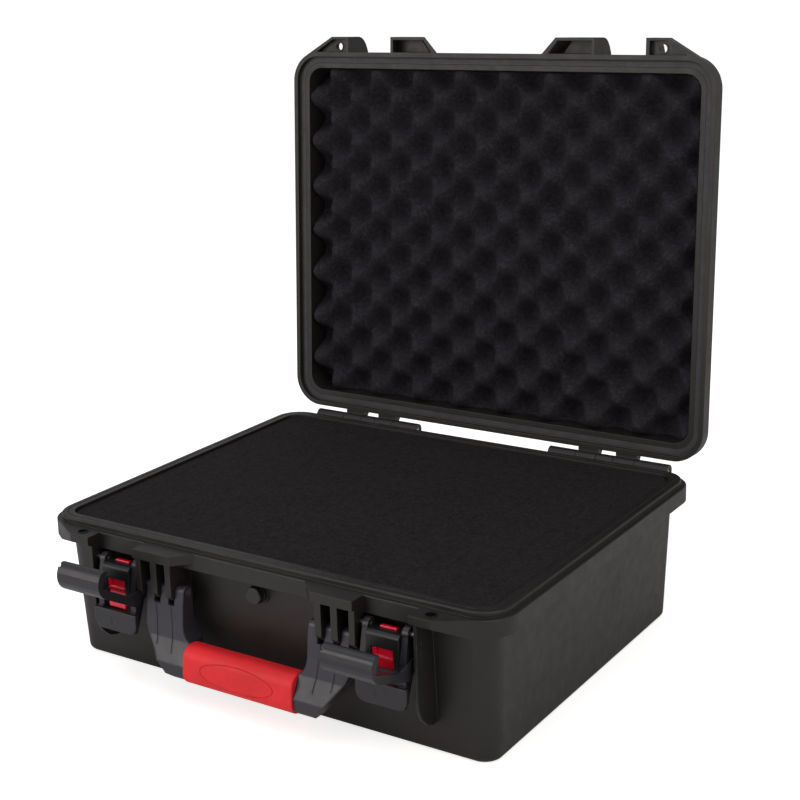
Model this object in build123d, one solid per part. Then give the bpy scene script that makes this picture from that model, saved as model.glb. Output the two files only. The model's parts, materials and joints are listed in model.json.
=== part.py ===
"""Hard equipment case: moulded base and lid, carrying handle, two throw latches, purge valve and foam.

Millimetres. X runs to the right, Y towards the hinge, Z up. The origin is the centre of the base's
resting face. The lid is modelled shut and then swung back to its open stop. Each latch hook is modelled
closed and then swung out to the angle at which it stands.
"""

import os
from math import cos, radians, sin

from build123d import *

# overall size
WIDTH = 465.0
DEPTH = 375.7
SEAM_Z = 128.6  # plane where lid and base meet
LID_TOP_Z = 176.6
RIM_RADIUS = 30.0
WALL = 3.6
FLOOR = 4.0

# rim section, as insets from the outline of the rim
FOOT_INSET = 19.5  # base wall at the bottom, front and back
FOOT_SIDE_INSET = 17.9  # the same at the sides
RIM_INSET = 12.2  # base wall at the seam
OPENING_INSET = 15.7
LAND_INSET = 4.6  # raised land that enters the lid
LAND_HEIGHT = 4.7
LAND_GROOVE_INSET = 9.8
SKIRT_BOTTOM_Z = 114.0
LID_SKIRT_TOP_Z = 144.0
LID_TOP_INSET = 17.0
STACK_LENGTH = 352.0  # stacking groove in the base's underside, outer size
STACK_DEPTH = 264.0
STACK_WIDTH = 6.0
STACK_RECESS = 1.5
STACK_RIB = 1.3  # height of the lid's matching rib

# lid hinge
HINGE_Y = 197.8
HINGE_Z = 127.5
KNUCKLE_RADIUS = 6.5
HINGE_PIN_RADIUS = 2.5
KNUCKLE_ENDS = (76.5, 105.9, 127.2, 145.5, 167.4, 201.2)
LID_OPEN_ANGLE = 93.14

# lugs along the front of the rim, and the latch bays between them
LUG_FRONT_Y = -203.4
LATCH_X = 137.0
CHEEK_X = 164.4  # inner face of a latch bay's outer cheek
CHEEK = 2.6
CHEEK_FRONT_Y = -198.0
INNER_LUG_X = 112.4  # outer edge of the lug over the handle bracket
OUTER_LUG_X = 163.5  # inner edge of the corner lug
PADLOCK_X = 178.0
PADLOCK_Y = -193.6
PADLOCK_RADIUS = 4.1
EYELET_WALL = 0.6
EYELET_FLANGE = 0.6  # thickness of an eyelet's flange
EYELET_BRIM = 0.5  # how far the flange reaches past the eyelet's tube
EYELET_Z = 119.6  # lower end of the tube in the base's lug
LID_LUG_FRONT_Z = 148.6
LID_LUG_FOOT_Z = 167.5
LUG_LEAN = 0.75  # sideways lean of the inner lug's end per unit of height

# carrying handle
HANDLE_Y = -190.5
HANDLE_Z = 94.0
HANDLE_PIN_RADIUS = 3.0
FASCIA_Z = 120.3
RIBS = ((74.2, 80.3), (89.6, 96.0), (106.9, 112.4))
RIB_FRONT_Y = -200.5
RIB_GAP = 0.4
ARM_INNER_X = 64.5
ARM_OUTER_X = 104.5
GRIP_HALF = 56.5
GRIP_Y = -199.3
GRIP_Z = 36.9
GRIP_DEPTH = 25.5
GRIP_HEIGHT = 34.2

# latches
LEVER_Y = -190.0
LEVER_Z = 107.0
LEVER_PIN_RADIUS = 2.0
LEVER_PIN_ENDS = (15.2, 29.0)
HOOK_Y = -191.5
HOOK_Z = 83.5
HOOK_PIN_RADIUS = 1.6
HOOK_HALF = 23.7
HOOK_FACE_Y = -205.0
HOOK_NOSE_Y = -182.7
HOOK_TOP_Z = 144.8
LEDGE_Z = 136.6  # top of the lid's catch ledge in the latch bay
LEDGE_BACK_Y = -182.0
EAR_INNER = 15.5
EAR_OUTER = 21.0
HOOK_OPEN_ANGLE = {"left": 59.6, "right": 70.1}
FRAME_FRONT_Y = -200.0
FRAME_BOTTOM_Z = 75.0
FRAME_TOP_Z = 107.0
SPRING_Y = -190.0
SPRING_SEAT_Z = 78.5
BRIDGE_Z = 98.0  # underside of the slider's bridge, over the spring

# purge valve
VALVE_Z = 101.8
VALVE_FACE_Y = -175.4

# clearances
FIXED_FIT = 0.02  # radial, a pin that stays with its hole
RUNNING_FIT = 0.06  # radial, a pin that turns in its hole
SEAL_GAP = 0.15
FOAM_GAP = 0.8

BASE_FOAM_TOP_Z = 131.5
LID_FOAM_FACE_Z = 132.4

SIDES = {"left": -1, "right": 1}


def rim_rectangle(inset, z, corner=None, side_inset=None):
    """A rounded rectangle set in from the outline of the rim, at height z."""
    if corner is None:
        corner = max(RIM_RADIUS - inset, 12.0)
    if side_inset is None:
        side_inset = inset
    outline = RectangleRounded(WIDTH - 2 * side_inset, DEPTH - 2 * inset, corner)
    return Plane.XY.offset(z) * outline


def rim_block(inset, z0, z1, corner=None):
    return extrude(rim_rectangle(inset, z0, corner), amount=z1 - z0)


def rim_loft(inset0, z0, inset1, z1, corner0=None, corner1=None):
    return loft([rim_rectangle(inset0, z0, corner0).face(), rim_rectangle(inset1, z1, corner1).face()])


def base_loft(margin, z0, inset1, z1, corner0, corner1):
    """A loft that follows the base's tapered walls, set in from them at the bottom by a margin."""
    bottom = rim_rectangle(FOOT_INSET + margin, z0, corner0, FOOT_SIDE_INSET + margin)
    return loft([bottom.face(), rim_rectangle(inset1, z1, corner1).face()])


def block(x0, x1, y0, y1, z0, z1):
    centre = ((x0 + x1) / 2, (y0 + y1) / 2, (z0 + z1) / 2)
    return Pos(*centre) * Box(abs(x1 - x0), abs(y1 - y0), abs(z1 - z0))


def side_prism(outline, x0, x1):
    """Extrude an outline of (y, z) points from x0 to x1."""
    face = make_face(Polyline(*outline, close=True))
    return extrude(Plane.YZ.offset(min(x0, x1)) * face, amount=abs(x1 - x0))


def plan_prism(outline, z0, z1):
    """Extrude an outline of (x, y) points from z0 to z1."""
    face = make_face(Polyline(*outline, close=True))
    return extrude(Plane.XY.offset(z0) * face, amount=z1 - z0)


def front_prism(outline, y0, y1):
    """Extrude an outline of (x, z) points from y0 to y1."""
    face = make_face(Polyline(*outline, close=True))
    return extrude(Plane(origin=(0, y1, 0), x_dir=(1, 0, 0), z_dir=(0, -1, 0)) * face, amount=y1 - y0)


def rod_x(y, z, radius, x0, x1):
    disc = Plane.YZ.offset(min(x0, x1)) * (Pos(y, z) * Circle(radius))
    return extrude(disc, amount=abs(x1 - x0))


def rod_y(x, z, radius, y0, y1):
    disc = Plane(origin=(x, y1, z), x_dir=(1, 0, 0), z_dir=(0, -1, 0)) * Circle(radius)
    return extrude(disc, amount=y1 - y0)


def rod_z(x, y, radius, z0, z1):
    return Pos(x, y, (z0 + z1) / 2) * Cylinder(radius, z1 - z0)


def round_edges(solid, keep, radius):
    """Fillet the edges that keep() picks out."""
    return fillet(solid.edges().filter_by(keep), radius)


def mirrored_x(solid):
    return mirror(solid, about=Plane.YZ)


def both_sides(solid):
    return solid + mirrored_x(solid)


def as_group(*solids):
    """One node made of separate solids."""
    pieces = [piece for solid in solids for piece in solid.solids()]
    return Compound(children=pieces)


# ---------------------------------------------------------------- lugs shared by base and lid


def outer_lug(z0, z1, trim=0.0):
    """The corner lug with the padlock hole, on the right."""
    outline = [
        (OUTER_LUG_X + trim, -178 - trim),
        (OUTER_LUG_X + trim, LUG_FRONT_Y + trim),
        (184 - 0.4 * trim, LUG_FRONT_Y + trim),
        (215.6 - 2.4 * trim, -184.9 + 0.2 * trim),
        (205 - trim, -178 - trim),
    ]
    return plan_prism(outline, z0, z1)


def inner_lug_outline(trim=0.0, lean=0.0):
    """Plan of the lug over the handle bracket, on the right; a lean moves its sloping end outwards."""
    return [
        (57 + 2.2 * trim + lean, -187.4),
        (64 + trim + lean, -178 - trim),
        (INNER_LUG_X - trim, -178 - trim),
        (INNER_LUG_X - trim, LUG_FRONT_Y + trim),
        (72 + 0.6 * trim + lean, LUG_FRONT_Y + trim),
    ]


# ---------------------------------------------------------------- base


def handle_rib(x0, x1):
    """A bracket rib with a chamfered lower front that carries the handle pin."""
    outline = [
        (-170, SEAM_Z - 2),
        (RIB_FRONT_Y, SEAM_Z - 2),
        (RIB_FRONT_Y, HANDLE_Z - 3),
        (RIB_FRONT_Y + 4, HANDLE_Z - 7.3),
        (HANDLE_Y + 3, HANDLE_Z - 7.3),
        (-170, HANDLE_Z - 16),
    ]
    return side_prism(outline, x0, x1)


def latch_cheek():
    """The outer wall of a latch bay, tapering away at its foot, on the right."""
    outline = [
        (-164, SEAM_Z - 3),
        (CHEEK_FRONT_Y, SEAM_Z - 3),
        (CHEEK_FRONT_Y, 56),
        (-196.5, 47),
        (-192, 38),
        (-184, 30.5),
        (-176, 27.5),
        (-164, 27),
    ]
    cheek = side_prism(outline, CHEEK_X, CHEEK_X + CHEEK)
    for z in (101.3, 93.3):
        slot = Plane.YZ.offset(CHEEK_X + CHEEK - 0.8) * (Pos(-191.5, z) * SlotOverall(3.6, 1.8, rotation=70))
        cheek -= extrude(slot, amount=2)
    return cheek


def base_corner_lug():
    """The corner lug of the base, with an underside that slopes up towards its front edge."""
    bottom = SKIRT_BOTTOM_Z - 0.6
    lug = outer_lug(bottom, SEAM_Z)
    return lug - side_prism([(-215, 100), (-215, bottom + 14), (-188, bottom), (-188, 100)], 160, 240)


def base_knuckles():
    knuckles = None
    for first in (0, 2, 4):
        x0 = KNUCKLE_ENDS[first] + (0.25 if first else 0)
        x1 = KNUCKLE_ENDS[first + 1] - (0.25 if first < 4 else 0)
        web = block(x0, x1, DEPTH / 2 - 2, HINGE_Y, HINGE_Z - KNUCKLE_RADIUS, HINGE_Z + 0.6)
        fin = side_prism([(DEPTH / 2 - 2, 110), (DEPTH / 2 - 2, 122), (HINGE_Y, 122)], x0, x1)
        piece = web + fin + rod_x(HINGE_Y, HINGE_Z, KNUCKLE_RADIUS, x0, x1)
        knuckles = piece if knuckles is None else knuckles + piece
    return knuckles


def stacking_ring(z0, z1, trim=0.0):
    """A rounded rectangular ring, as wide as the stacking groove less a trim on each side."""
    outer = RectangleRounded(STACK_LENGTH - 2 * trim, STACK_DEPTH - 2 * trim, 20 - trim)
    inner_trim = STACK_WIDTH - trim
    inner = RectangleRounded(STACK_LENGTH - 2 * inner_trim, STACK_DEPTH - 2 * inner_trim, 20 - inner_trim)
    return extrude(Plane.XY.offset(z0) * (outer - inner), amount=z1 - z0)


def base_outside():
    body = base_loft(0, 0, RIM_INSET, SEAM_Z, 16.0, 20.0)
    body = fillet(body.faces().sort_by(Axis.Z)[0].edges(), 5.0)
    skirt = rim_block(0, SKIRT_BOTTOM_Z, SEAM_Z)
    skirt = fillet(skirt.faces().sort_by(Axis.Z)[-1].edges(), 0.8)
    land = rim_block(LAND_INSET, SEAM_Z - 2, SEAM_Z + LAND_HEIGHT)
    land = fillet(land.faces().sort_by(Axis.Z)[-1].edges(), 1.2)
    return body + skirt + land


def base_shell():
    """The moulded lower half, with lugs, handle bracket, latch bays and hinge knuckles."""
    shell = base_outside()
    additions = base_corner_lug()
    additions += plan_prism(inner_lug_outline(), FASCIA_Z, SEAM_Z)
    additions += latch_cheek()
    for x0, x1 in RIBS:
        additions += handle_rib(x0, x1)
    additions += base_knuckles()
    additions += block(LATCH_X - 13, LATCH_X + 13, -180, -160, 80, 96)  # pad behind the latch frame
    shell += both_sides(additions)
    shell += rod_y(0, VALVE_Z, 10.0, VALVE_FACE_Y, -165)

    shell -= base_loft(WALL, FLOOR, OPENING_INSET, SEAM_Z + LAND_HEIGHT + 0.01, 13.0, 15.0)
    groove = rim_block(LAND_GROOVE_INSET, SEAM_Z + LAND_HEIGHT - 0.8, SEAM_Z + LAND_HEIGHT + 1)
    groove -= rim_block(LAND_GROOVE_INSET + 0.9, SEAM_Z + LAND_HEIGHT - 1, SEAM_Z + LAND_HEIGHT + 2)
    shell -= groove
    shell -= stacking_ring(-1, STACK_RECESS)

    holes = rod_z(PADLOCK_X, PADLOCK_Y, PADLOCK_RADIUS + EYELET_WALL + FIXED_FIT, 100, SEAM_Z + 1)
    holes += rod_z(PADLOCK_X, PADLOCK_Y, PADLOCK_RADIUS + EYELET_WALL + EYELET_BRIM + 0.1, 100, EYELET_Z)
    hinge_ends = (KNUCKLE_ENDS[0] - 1, KNUCKLE_ENDS[-1] + 1)
    holes += rod_x(HINGE_Y, HINGE_Z, HINGE_PIN_RADIUS + FIXED_FIT, *hinge_ends)
    holes += rod_x(HANDLE_Y, HANDLE_Z, HANDLE_PIN_RADIUS + FIXED_FIT, RIBS[0][0] - 1, RIBS[2][1] - 2)
    lever_hole = LEVER_PIN_ENDS[1] + 0.1
    holes += rod_x(LEVER_Y, LEVER_Z, LEVER_PIN_RADIUS + FIXED_FIT, LATCH_X - lever_hole, LATCH_X + lever_hole)
    shell -= both_sides(holes)
    shell -= rod_y(0, VALVE_Z, 5.0 + FIXED_FIT, -200, -150)
    return shell


def eyelet(x, y, z0, z1):
    """A pressed metal eyelet with a flange over each end of its hole."""
    outer = PADLOCK_RADIUS + EYELET_WALL
    ring = rod_z(x, y, outer, z0, z1)
    ring += rod_z(x, y, outer + EYELET_BRIM, z1, z1 + EYELET_FLANGE)
    ring += rod_z(x, y, outer + EYELET_BRIM, z0 - EYELET_FLANGE, z0)
    return ring - rod_z(x, y, PADLOCK_RADIUS, z0 - 2, z1 + 2)


def padlock_eyelets_base():
    right = eyelet(PADLOCK_X, PADLOCK_Y, EYELET_Z, SEAM_Z)
    return as_group(right, mirrored_x(right))


def foam_block():
    """All the base foam as one block: the inside of the base less a small gap."""
    top_inset = OPENING_INSET + FOAM_GAP
    body = base_loft(WALL + FOAM_GAP, FLOOR + 0.2, top_inset, SEAM_Z + LAND_HEIGHT, 12.0, 14.0)
    return body - rod_y(0, VALVE_Z, 12.0, -180, -161)


def foam_layer(z0, z1):
    return foam_block() & block(-WIDTH, WIDTH, -DEPTH, DEPTH, z0, z1)


def hinge_pin(side):
    inner = KNUCKLE_ENDS[0] + 0.6
    outer = KNUCKLE_ENDS[-1] - 0.6
    return rod_x(HINGE_Y, HINGE_Z, HINGE_PIN_RADIUS, side * inner, side * outer)


# ---------------------------------------------------------------- purge valve


def valve_body():
    """Flanged body through the front wall, with a bore for the knob's stem and a seat for the membrane."""
    body = rod_y(0, VALVE_Z, 8.2, VALVE_FACE_Y - 3.0, VALVE_FACE_Y - 1.2)
    body += rod_y(0, VALVE_Z, 5.0, VALVE_FACE_Y - 2.0, -163.6)
    body -= rod_y(0, VALVE_Z, 2.5 + RUNNING_FIT, -190, -150)
    body -= rod_y(0, VALVE_Z, 4.0, -165.2, -150)
    return body


def valve_seal():
    ring = rod_y(0, VALVE_Z, 8.0, VALVE_FACE_Y - 1.2, VALVE_FACE_Y)
    return ring - rod_y(0, VALVE_Z, 5.0 + FIXED_FIT, -190, -150)


def valve_nut():
    plane = Plane(origin=(0, -165.2, VALVE_Z), x_dir=(1, 0, 0), z_dir=(0, -1, 0))
    nut = extrude(plane * RegularPolygon(9.0, 6), amount=4.2)
    return nut - rod_y(0, VALVE_Z, 5.0 + FIXED_FIT, -190, -150)


def valve_membrane():
    return rod_y(0, VALVE_Z, 4.0 - FIXED_FIT, -165.15, -164.3)


def valve_knob():
    """Six-sided cap with softened corners, on a stem that turns in the valve body."""
    plane = Plane(origin=(0, VALVE_FACE_Y - 3.1, VALVE_Z), x_dir=(1, 0, 0), z_dir=(0, -1, 0))
    cap = extrude(plane * RegularPolygon(8.6, 6), amount=5.9) & rod_y(0, VALVE_Z, 7.9, -190, -170)
    cap = chamfer(cap.faces().sort_by(Axis.Y)[0].edges(), 0.7)
    return cap + rod_y(0, VALVE_Z, 2.5, VALVE_FACE_Y - 4, -167)


# ---------------------------------------------------------------- lid, modelled shut


def opened(solid):
    """Swing a lid part from shut back to the open stop."""
    return solid.rotate(Axis((0, HINGE_Y, HINGE_Z), (1, 0, 0)), -LID_OPEN_ANGLE)


def lid_knuckles():
    knuckles = None
    for first in (1, 3):
        x0 = KNUCKLE_ENDS[first] + 0.25
        x1 = KNUCKLE_ENDS[first + 1] - 0.25
        arm = block(x0, x1, DEPTH / 2 - 2, HINGE_Y, SEAM_Z + 0.1, HINGE_Z + KNUCKLE_RADIUS)
        brace = [(DEPTH / 2 - 2, SEAM_Z + 2), (DEPTH / 2 - 2, 143), (HINGE_Y, HINGE_Z + KNUCKLE_RADIUS)]
        piece = arm + side_prism(brace, x0, x1) + rod_x(HINGE_Y, HINGE_Z, KNUCKLE_RADIUS, x0, x1)
        knuckles = piece if knuckles is None else knuckles + piece
    return knuckles


def lug_section():
    """The side outline of a lid lug: shallow at its front edge, deep where it joins the lid wall."""
    curve = [(LUG_FRONT_Y, LID_LUG_FRONT_Z)]
    steps = 6
    for i in range(1, steps):
        turn = radians(90 * i / steps)
        y = LUG_FRONT_Y + 29 * (1 - cos(turn))
        z = LID_LUG_FRONT_Z + (LID_LUG_FOOT_Z - LID_LUG_FRONT_Z) * sin(turn)
        curve.append((y, z))
    return [(-172, SEAM_Z), (LUG_FRONT_Y, SEAM_Z)] + curve + [(-172, LID_LUG_FOOT_Z)]


def lid_outer_lug():
    """Padlock plate with a rim, and a deep web beside the latch bay."""
    plate = outer_lug(SEAM_Z, SEAM_Z + 10)
    web_end = OUTER_LUG_X + 3.5
    plate -= outer_lug(SEAM_Z - 1, SEAM_Z + 5.5, 2.6) & block(web_end, 240, -210, -188.0, 100, 200)
    web = side_prism(lug_section(), OUTER_LUG_X, web_end)
    return plate + web


def leaning_lug(z0, z1, trim):
    """The inner lug with a sloping end that leans outwards as it goes up from the seam."""
    faces = []
    for z in (z0, z1):
        outline = inner_lug_outline(trim, LUG_LEAN * (z - SEAM_Z))
        faces.append((Plane.XY.offset(z) * make_face(Polyline(*outline, close=True))).face())
    return loft(faces)


def lid_inner_lug():
    """Hollow lug that opens on the seam, with a deep web beside the latch bay."""
    lug = leaning_lug(SEAM_Z, LID_LUG_FOOT_Z + 1, 0) & side_prism(lug_section(), 50, 120)
    lug -= leaning_lug(SEAM_Z - 1, SEAM_Z + 13, 3.0) & block(40, 120, -210, -188.2, 100, 200)
    return lug + side_prism(lug_section(), INNER_LUG_X - 3, INNER_LUG_X)


def lid_outside():
    body = rim_loft(RIM_INSET, SEAM_Z + 1, LID_TOP_INSET, LID_TOP_Z, 24.0, 24.0)
    body = fillet(body.faces().sort_by(Axis.Z)[-1].edges(), 9.0)
    skirt = rim_block(0, SEAM_Z, LID_SKIRT_TOP_Z)
    skirt = fillet(skirt.faces().sort_by(Axis.Z)[-1].edges(), 2.0)
    rib = stacking_ring(LID_TOP_Z - 2, LID_TOP_Z + STACK_RIB, 1.0)
    rib = fillet(rib.faces().sort_by(Axis.Z)[-1].edges(), 0.6)
    return body + skirt + rib


def lid_shell_shut():
    shell = lid_outside()
    additions = lid_outer_lug() + lid_inner_lug() + lid_knuckles()
    shell += both_sides(additions)
    shell -= rim_block(LAND_INSET - 0.1, SEAM_Z - 1, SEAM_Z + LAND_HEIGHT + 0.2)
    shell -= rim_loft(OPENING_INSET, SEAM_Z, LID_TOP_INSET + WALL, LID_TOP_Z - WALL, 15.0, 18.0)
    seal_bed = rim_block(5.6, SEAM_Z, SEAM_Z + 7.4) - rim_block(11.0, SEAM_Z - 1, SEAM_Z + 8)
    shell -= seal_bed

    cuts = block(INNER_LUG_X, OUTER_LUG_X, -200, LEDGE_BACK_Y, LEDGE_Z, LID_SKIRT_TOP_Z + 1)
    cuts += rod_z(PADLOCK_X, PADLOCK_Y, PADLOCK_RADIUS + EYELET_WALL + FIXED_FIT, 120, 150)
    cuts += rod_x(HINGE_Y, HINGE_Z, HINGE_PIN_RADIUS + RUNNING_FIT, KNUCKLE_ENDS[0], KNUCKLE_ENDS[-1])
    return shell - both_sides(cuts)


def lid_seal_shut():
    """Gasket ring seated in the lid, just above the land of the base."""
    ring = rim_block(5.7, SEAM_Z + LAND_HEIGHT + SEAL_GAP, SEAM_Z + 7.3)
    return ring - rim_block(10.9, SEAM_Z, SEAM_Z + 10)


def lid_foam_shut():
    back_z = LID_TOP_Z - WALL - 0.2
    back_inset = LID_TOP_INSET + WALL + FOAM_GAP
    return rim_loft(OPENING_INSET + FOAM_GAP + 0.4, LID_FOAM_FACE_Z, back_inset, back_z, 14.0, 16.0)


def padlock_eyelets_lid_shut():
    right = eyelet(PADLOCK_X, PADLOCK_Y, SEAM_Z + 5.5, SEAM_Z + 10)
    return as_group(opened(right), opened(mirrored_x(right)))


# ---------------------------------------------------------------- handle


def grip_section(shrink=0.0):
    outline = RectangleRounded(GRIP_DEPTH - 2 * shrink, GRIP_HEIGHT - 2 * shrink, 11.0 - shrink)
    return Pos(GRIP_Y, GRIP_Z) * (Rot(0, 0, -6) * outline)


def grip_bar(half, shrink=0.0):
    return extrude(Plane.YZ * grip_section(shrink), amount=half, both=True)


def handle_grip():
    """Soft grip moulded round the bar, with an oval line on its face."""
    grip = grip_bar(GRIP_HALF)
    grip = fillet(grip.faces().filter_by(Axis.X).edges(), 1.2)
    plane = Plane(origin=(0, -200, GRIP_Z + 1), x_dir=(1, 0, 0), z_dir=(0, -1, 0))
    oval = extrude(plane * Ellipse(38.0, 11.0), amount=20) - extrude(plane * Ellipse(37.3, 10.3), amount=20)
    grip -= oval - grip_bar(GRIP_HALF, 0.5)
    return grip - rod_x(GRIP_Y, GRIP_Z, 7.0 + FIXED_FIT, -GRIP_HALF - 1, GRIP_HALF + 1)


def arm_side_outline():
    """The arm seen from the side, from its rounded top round the pivot down to the bar."""
    top = 5.6
    turns = [radians(a) for a in range(0, 181, 15)]
    crown = [(HANDLE_Y + top * cos(turn), HANDLE_Z + top * sin(turn)) for turn in turns]
    front = [(-197.8, 84), (-199.0, 70), (-201.8, 54), (-206.5, 43), (-210.8, 36)]
    foot = [(-209.8, 25.4), (-203.8, 20.6), (-191.0, 20.6)]
    back = [(-185.4, 30), (-183.4, 60)]
    return crown + front + foot + back


def handle_arm():
    front = [
        (GRIP_HALF + 0.1, 20),
        (GRIP_HALF + 0.1, 54),
        (GRIP_HALF + 4.0, 56.5),
        (ARM_INNER_X - 1.4, 61),
        (ARM_INNER_X, 68),
        (ARM_INNER_X, 110),
        (ARM_OUTER_X, 110),
        (ARM_OUTER_X, 62),
        (ARM_OUTER_X - 2.6, 56),
        (78.6, 26),
        (73.5, 20),
    ]
    arm = side_prism(arm_side_outline(), GRIP_HALF + 0.1, ARM_OUTER_X) & front_prism(front, -230, -160)
    for x0, x1 in RIBS[:2]:
        arm -= block(x0 - RIB_GAP, x1 + RIB_GAP, -230, -160, HANDLE_Z - 11.6, 130)
    for (x0, z0), (x1, z1) in (((77.8, 84), (73.2, 43)), ((94.3, 84), (90, 47))):
        line = [(x0 - 0.4, z0), (x1 - 0.4, z1), (x1 + 0.4, z1), (x0 + 0.4, z0)]
        shifted = [(y + 0.6, z) for y, z in arm_side_outline()]
        groove = front_prism(line, -230, GRIP_Y + 6)
        arm -= groove - side_prism(shifted, 60, 110)
    return arm - rod_x(HANDLE_Y, HANDLE_Z, HANDLE_PIN_RADIUS + RUNNING_FIT, 50, 120)


def handle_frame():
    bar = rod_x(GRIP_Y, GRIP_Z, 7.0, -GRIP_HALF - 2, GRIP_HALF + 2)
    return both_sides(handle_arm()) + bar


def handle_pin(side):
    inner = ARM_INNER_X + 0.8
    outer = RIBS[2][1] - 2.2
    return rod_x(HANDLE_Y, HANDLE_Z, HANDLE_PIN_RADIUS, side * inner, side * outer)


# ---------------------------------------------------------------- latch, modelled about x = 0 and closed


def placed(solid, side):
    return Pos(SIDES[side] * LATCH_X, 0, 0) * solid


def latch_frame():
    """Housing between the lever's ears, with a channel for the slider and a chamber for its spring."""
    outline = [
        (FRAME_FRONT_Y, FRAME_BOTTOM_Z),
        (FRAME_FRONT_Y, FRAME_TOP_Z),
        (-182.5, FRAME_TOP_Z),
        (-180, 104),
        (-180, 78),
        (-183, FRAME_BOTTOM_Z),
    ]
    frame = side_prism(outline, -15, 15)
    front_top = frame.edges().filter_by(Axis.X).sort_by(lambda e: e.center().Z - e.center().Y)[-1]
    frame = fillet(front_top, 4.0)
    frame -= block(-10.3, 10.3, -198.4, -195.2, FRAME_BOTTOM_Z - 1, 103)
    frame -= block(-8.2, 8.2, -195.3, -183, SPRING_SEAT_Z, 103)
    frame -= block(-8.0, 8.0, -190.9, -186.2, 102, FRAME_TOP_Z + 1)
    frame -= block(-10.2, 10.2, -205, -198.2, 77.8, 94.5)
    for y in (-193, -188):
        slot = side_prism([(y - 3, 82), (y - 1.2, 82), (y + 2.4, 93), (y + 0.6, 93)], 12.2, 20)
        frame -= both_sides(slot)
    return frame


def latch_slider():
    """Release slider: a plate with a thumb ledge, bridged back over its spring to a tab above the frame."""
    plate = block(-10, 10, -198.2, -195.4, 71, 101)
    bridge = block(-7.7, 7.7, -196, -186.6, BRIDGE_Z, 101)
    tab = block(-7.7, 7.7, -190.5, -186.6, BRIDGE_Z, 108.5)
    tab = round_edges(tab, lambda e: e.center().Z > 108.4, 0.9)
    ledge = block(-9.4, 9.4, -199.8, -198, 85.2, 86.8)
    cheek_bars = block(-9.4, -5.4, -199.4, -198, 88.0, 93.6) + block(5.4, 9.4, -199.4, -198, 88.0, 93.6)
    foot = block(-9, 9, -200.2, -197, 68, 74.5)
    foot = round_edges(foot, lambda e: e.center().Y < -200.1 and e.length > 15, 1.2)
    return plate + bridge + tab + ledge + cheek_bars + foot


def latch_lever():
    """Pull lever: a finger plate below, and two ears up to its own pivot, each with the hook's knuckle."""
    ear = [
        (LEVER_Y + 5.9, LEVER_Z - 1),
        (HOOK_Y + 5.4, HOOK_Z),
        (-192.5, 66),
        (-199.5, 49),
        (-203.0, 49),
        (-203.0, 66.4),
        (-200.2, 69.2),
        (-200.2, HOOK_Z + 2),
        (LEVER_Y - 5.8, LEVER_Z - 1),
    ]
    ears = side_prism(ear, EAR_INNER, EAR_OUTER) + rod_x(LEVER_Y, LEVER_Z, 6.0, EAR_INNER, EAR_OUTER)
    ears += rod_x(HOOK_Y, HOOK_Z, 5.4, EAR_INNER, EAR_OUTER)
    plate = block(-HOOK_HALF, HOOK_HALF, -204.6, -200.4, 48, 67)
    plate = round_edges(plate, lambda e: e.center().Z < 49 and e.length < 5, 9.0)
    plate = round_edges(plate, lambda e: e.center().Y < -204.5, 0.9)
    for z in (59.5, 57.3, 55.1):
        plate -= block(-4.8, 4.8, -206, -204.2, z - 0.4, z + 0.4)
    lip = block(-EAR_INNER, EAR_INNER, -201, -198.4, 61, 64.5)
    lever = plate + lip + both_sides(ears)
    lever -= rod_x(LEVER_Y, LEVER_Z, LEVER_PIN_RADIUS + RUNNING_FIT, -30, 30)
    return lever - rod_x(HOOK_Y, HOOK_Z, HOOK_PIN_RADIUS + FIXED_FIT, -30, 30)


def quarter_arc(y, z, radius, start):
    """Points over a quarter turn about (y, z), clockwise from the start angle in degrees."""
    turns = [radians(start - step) for step in range(0, 91, 15)]
    return [(y + radius * cos(turn), z + radius * sin(turn)) for turn in turns]


def hook_outline():
    """The J of the hook from the side: outer face, rounded end, and the nose over the lid's ledge."""
    outer = 15.0
    nose = 6.5
    underside = LEDGE_Z + 0.6
    rounded_end = quarter_arc(HOOK_FACE_Y + outer, HOOK_TOP_Z - outer, outer, 180)
    nose_end = quarter_arc(HOOK_NOSE_Y - nose, HOOK_TOP_Z - nose, nose, 90)
    inner_face = [(HOOK_NOSE_Y, underside), (-197.5, underside), (-197.5, 111), (-201.2, 107.5)]
    return rounded_end + nose_end + inner_face


def latch_hook():
    """Hook: a solid J, and two thin arms from its lower end to its knuckles on the lever."""
    lower_end = HOOK_Z + 10
    outline = hook_outline() + [(-201.2, lower_end), (HOOK_FACE_Y, lower_end)]
    blade = side_prism(outline, -HOOK_HALF, HOOK_HALF)
    side = [
        (HOOK_FACE_Y, HOOK_Z + 2.7),
        (HOOK_FACE_Y, 112),
        (-197.5, 112),
        (-197.5, 100),
        (HOOK_Y + 4.4, HOOK_Z + 2),
        (HOOK_Y - 1.6, HOOK_Z - 4.6),
    ]
    arm = side_prism(side, EAR_OUTER + 0.2, HOOK_HALF)
    arm += rod_x(HOOK_Y, HOOK_Z, 4.9, EAR_OUTER + 0.2, HOOK_HALF)
    hook = blade + both_sides(arm)
    for z in (119.5, 122.0, 124.5):
        hook -= block(-7, 7, -212, HOOK_FACE_Y + 0.4, z - 0.5, z + 0.5)
    notch_z = HOOK_TOP_Z - 2.4
    hook -= block(-HOOK_HALF - 1, -HOOK_HALF + 2.2, -188.5, -185.6, notch_z, HOOK_TOP_Z + 1)
    return hook - rod_x(HOOK_Y, HOOK_Z, HOOK_PIN_RADIUS + RUNNING_FIT, -30, 30)


def swung(solid, side):
    """Swing a closed hook out to the angle at which it stands."""
    return solid.rotate(Axis((0, HOOK_Y, HOOK_Z), (1, 0, 0)), HOOK_OPEN_ANGLE[side])


def hook_pins():
    right = rod_x(HOOK_Y, HOOK_Z, HOOK_PIN_RADIUS, EAR_INNER, HOOK_HALF)
    return right, mirrored_x(right)


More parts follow.
